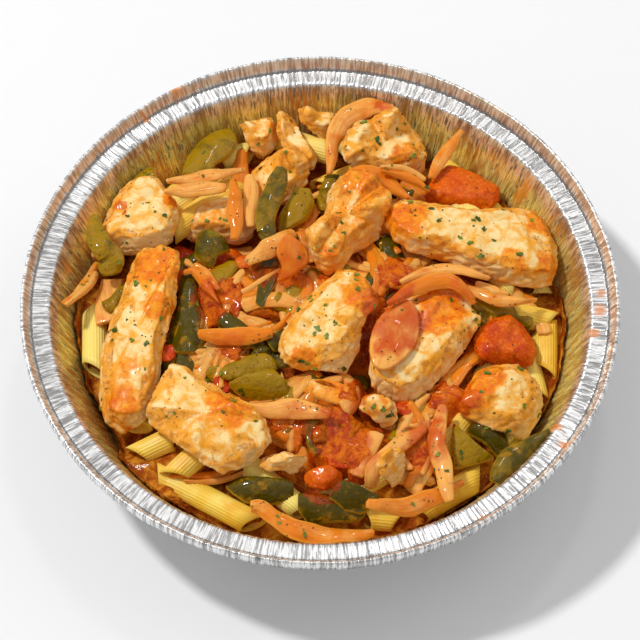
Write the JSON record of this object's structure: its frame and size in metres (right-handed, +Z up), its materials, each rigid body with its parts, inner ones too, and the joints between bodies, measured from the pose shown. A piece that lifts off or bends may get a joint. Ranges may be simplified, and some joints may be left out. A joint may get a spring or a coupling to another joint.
{
  "type": "foil tray meal",
  "caption": "Round aluminium foil takeaway tray filled with penne pasta, chicken pieces, green pepper, onion and tomato in sauce; crimped ledge, curled rim, open top.",
  "frame": {"origin": "centre of the tray's flat base, on its underside", "axes": "+Z up out of the open top; the side nearest the picture's viewer is -Y; +X is the picture's right"},
  "size_m": [0.229, 0.229, 0.0531],
  "materials": {
    "foil": "bright rolled foil, crimped",
    "penne": "cooked pasta, satin",
    "chicken": "seared and oiled",
    "pepper": "cooked, glossy skin",
    "onion": "cooked, translucent and wet",
    "tomato": "cooked, wet"
  },
  "bodies": {
    "root": {"tray": "foil", "pasta_bed": "penne", "chicken_behind_pepper": "chicken", "chicken_broad_fillet": "chicken", "chicken_centre": "chicken", "chicken_centre_back": "chicken", "chicken_centre_nugget": "chicken", "chicken_front_nugget": "chicken", "chicken_left_inner": "chicken", "chicken_long_left": "chicken", "chicken_lower_left": "chicken", "chicken_lower_right": "chicken", "chicken_right_slab": "chicken", "chicken_top_back": "chicken", "chicken_top_left_a": "chicken", "chicken_top_left_b": "chicken", "chicken_top_middle": "chicken", "chicken_top_round": "chicken", "chicken_upper_left": "chicken", "chicken_wedge_front": "chicken", "onion_back_arc": "onion", "onion_back_left_a": "onion", "onion_back_left_b": "onion", "onion_back_stick": "onion", "onion_front_banana": "onion", "onion_front_fan_b": "onion", "onion_front_sweep": "onion", "onion_front_upright": "onion", "onion_inner_bar": "onion", "onion_inner_hook": "onion", "onion_inner_leaf": "onion", "onion_left_stick": "onion", "onion_middle_back_a": "onion", "onion_middle_back_b": "onion", "onion_middle_front": "onion", "onion_middle_left": "onion", "onion_right_arch_a": "onion", "onion_right_arch_b": "onion", "onion_right_low": "onion", "onion_round_slice": "onion", "onion_upright_a": "onion", "onion_upright_b": "onion", "pepper_back_left": "pepper", "pepper_behind_onion": "pepper", "pepper_curl": "pepper", "pepper_front_dark": "pepper", "pepper_front_middle": "pepper", "pepper_front_right_a": "pepper", "pepper_front_right_b": "pepper", "pepper_front_right_c": "pepper", "pepper_front_square": "pepper", "pepper_glossy_upright": "pepper", "pepper_left_leaf": "pepper", "pepper_left_upright": "pepper", "pepper_middle_a": "pepper", "pepper_middle_b": "pepper", "pepper_over_chicken": "pepper", "tomato_back_right": "tomato", "tomato_front_dark": "tomato", "tomato_right": "tomato"}
  },
  "joints": []
}
